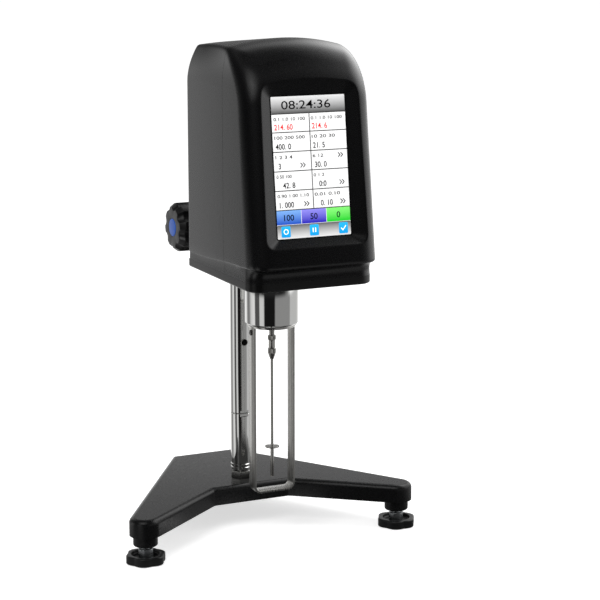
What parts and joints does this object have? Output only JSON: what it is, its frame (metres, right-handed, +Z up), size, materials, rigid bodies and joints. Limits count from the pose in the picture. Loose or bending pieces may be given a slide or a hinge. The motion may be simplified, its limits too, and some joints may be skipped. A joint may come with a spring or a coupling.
{
  "type": "rotational viscometer",
  "caption": "Bench rotational viscometer: touch-screen head with guarded disc spindle on a rack-and-pinion column over a V-shaped base with levelling feet.",
  "frame": {"origin": "centre of the outline on the surface under the three feet", "axes": "+Z up along the column, -Y towards the operator (the display faces -Y), +X to the right seen from the front"},
  "size_m": [0.2768, 0.2562, 0.4474],
  "materials": {
    "casting": "black stoved paint on iron",
    "shell": "satin black moulded ABS",
    "skirt": "black moulded ABS, fine grain",
    "knob": "charcoal phenolic moulding",
    "cap_blue": "blue moulded cap",
    "chrome": "polished hard chrome on steel",
    "stainless": "ground and brushed stainless steel",
    "zinc_steel": "zinc plated steel",
    "aluminium": "anodised aluminium",
    "bronze": "sintered bronze",
    "glass": "toughened cover glass",
    "display": "liquid crystal panel",
    "board": "glass epoxy laminate",
    "motor": "black enamelled motor stack",
    "rubber": "moulded nitrile rubber",
    "socket": "black nylon",
    "brass": "turned brass"
  },
  "bodies": {
    "stand": {"base_casting": "casting", "column_lower": "chrome", "column_upper": "chrome", "rack": "zinc_steel", "column_cap": "knob", "tie_washer": "zinc_steel", "tie_nut": "zinc_steel"},
    "foot_left": {"star_knob_left": "knob", "foot_pad_left": "rubber", "foot_stud_left": "zinc_steel"},
    "foot_right": {"star_knob_right": "knob", "foot_pad_right": "rubber", "foot_stud_right": "zinc_steel"},
    "foot_rear": {"star_knob_rear": "knob", "foot_pad_rear": "rubber", "foot_stud_rear": "zinc_steel"},
    "head": {"front_shell": "shell", "rear_shell": "shell", "skirt_plate": "skirt", "skirt_screws": "zinc_steel", "head_bolts": "zinc_steel", "touch_glass": "glass", "display_panel": "display", "main_board": "board", "board_posts": "brass", "chassis": "aluminium", "bearing_housing": "aluminium", "lower_bearing": "stainless", "upper_bearing": "stainless", "motor_pillars": "aluminium", "motor_plate": "aluminium", "drive_motor": "motor", "cup": "chrome", "guard_collar": "stainless", "spindle_bush": "bronze", "spindle_guard": "stainless", "guard_screws": "stainless", "power_inlet": "socket", "inlet_pins": "brass", "switch_frame": "socket", "data_port": "stainless", "probe_socket": "stainless", "power_board": "board", "slide_block": "aluminium", "block_cover": "aluminium", "cover_screws": "zinc_steel", "column_bushes": "bronze", "pinion_bushes": "bronze"},
    "lift_drive": {"lift_knob": "knob", "lift_knob_cap": "cap_blue", "pinion": "zinc_steel", "pinion_shaft": "stainless"},
    "spindle": {"drive_shaft": "stainless", "spindle_coupling": "stainless", "spindle_rod": "stainless", "spindle_disc": "stainless", "spring_coupler": "brass", "motor_shaft": "stainless"},
    "rocker": {"switch_rocker": "socket"}
  },
  "joints": [
    {"name": "foot_left_screw", "type": "slide", "parent": "stand", "child": "foot_left", "axis": [0, 0, -1], "range_m": [-0.0022, 0.01]},
    {"name": "foot_right_screw", "type": "slide", "parent": "stand", "child": "foot_right", "axis": [0, 0, -1], "range_m": [-0.0022, 0.01]},
    {"name": "foot_rear_screw", "type": "slide", "parent": "stand", "child": "foot_rear", "axis": [0, 0, -1], "range_m": [-0.0022, 0.01]},
    {"name": "head_lift", "type": "slide", "parent": "stand", "child": "head", "axis": [0, 0, 1], "range_m": [-0.035, 0.065]},
    {"name": "lift_knob_turn", "type": "hinge", "parent": "head", "child": "lift_drive", "pos_m": [0, 0.054, 0.2725], "axis": [1, 0, 0], "range_deg": [-225, 418]},
    {"name": "spindle_spin", "type": "hinge", "parent": "head", "child": "spindle", "pos_m": [0, -0.032, 0.2], "axis": [0, 0, 1], "continuous": true},
    {"name": "switch_rock", "type": "hinge", "parent": "head", "child": "rocker", "pos_m": [-0.034, 0.02, 0.336], "axis": [1, 0, 0], "range_deg": [-16, 0]}
  ],
  "couplings": [
    {"joint": "lift_knob_turn", "follows": "head_lift", "rad_per_m": 111.11}
  ]
}
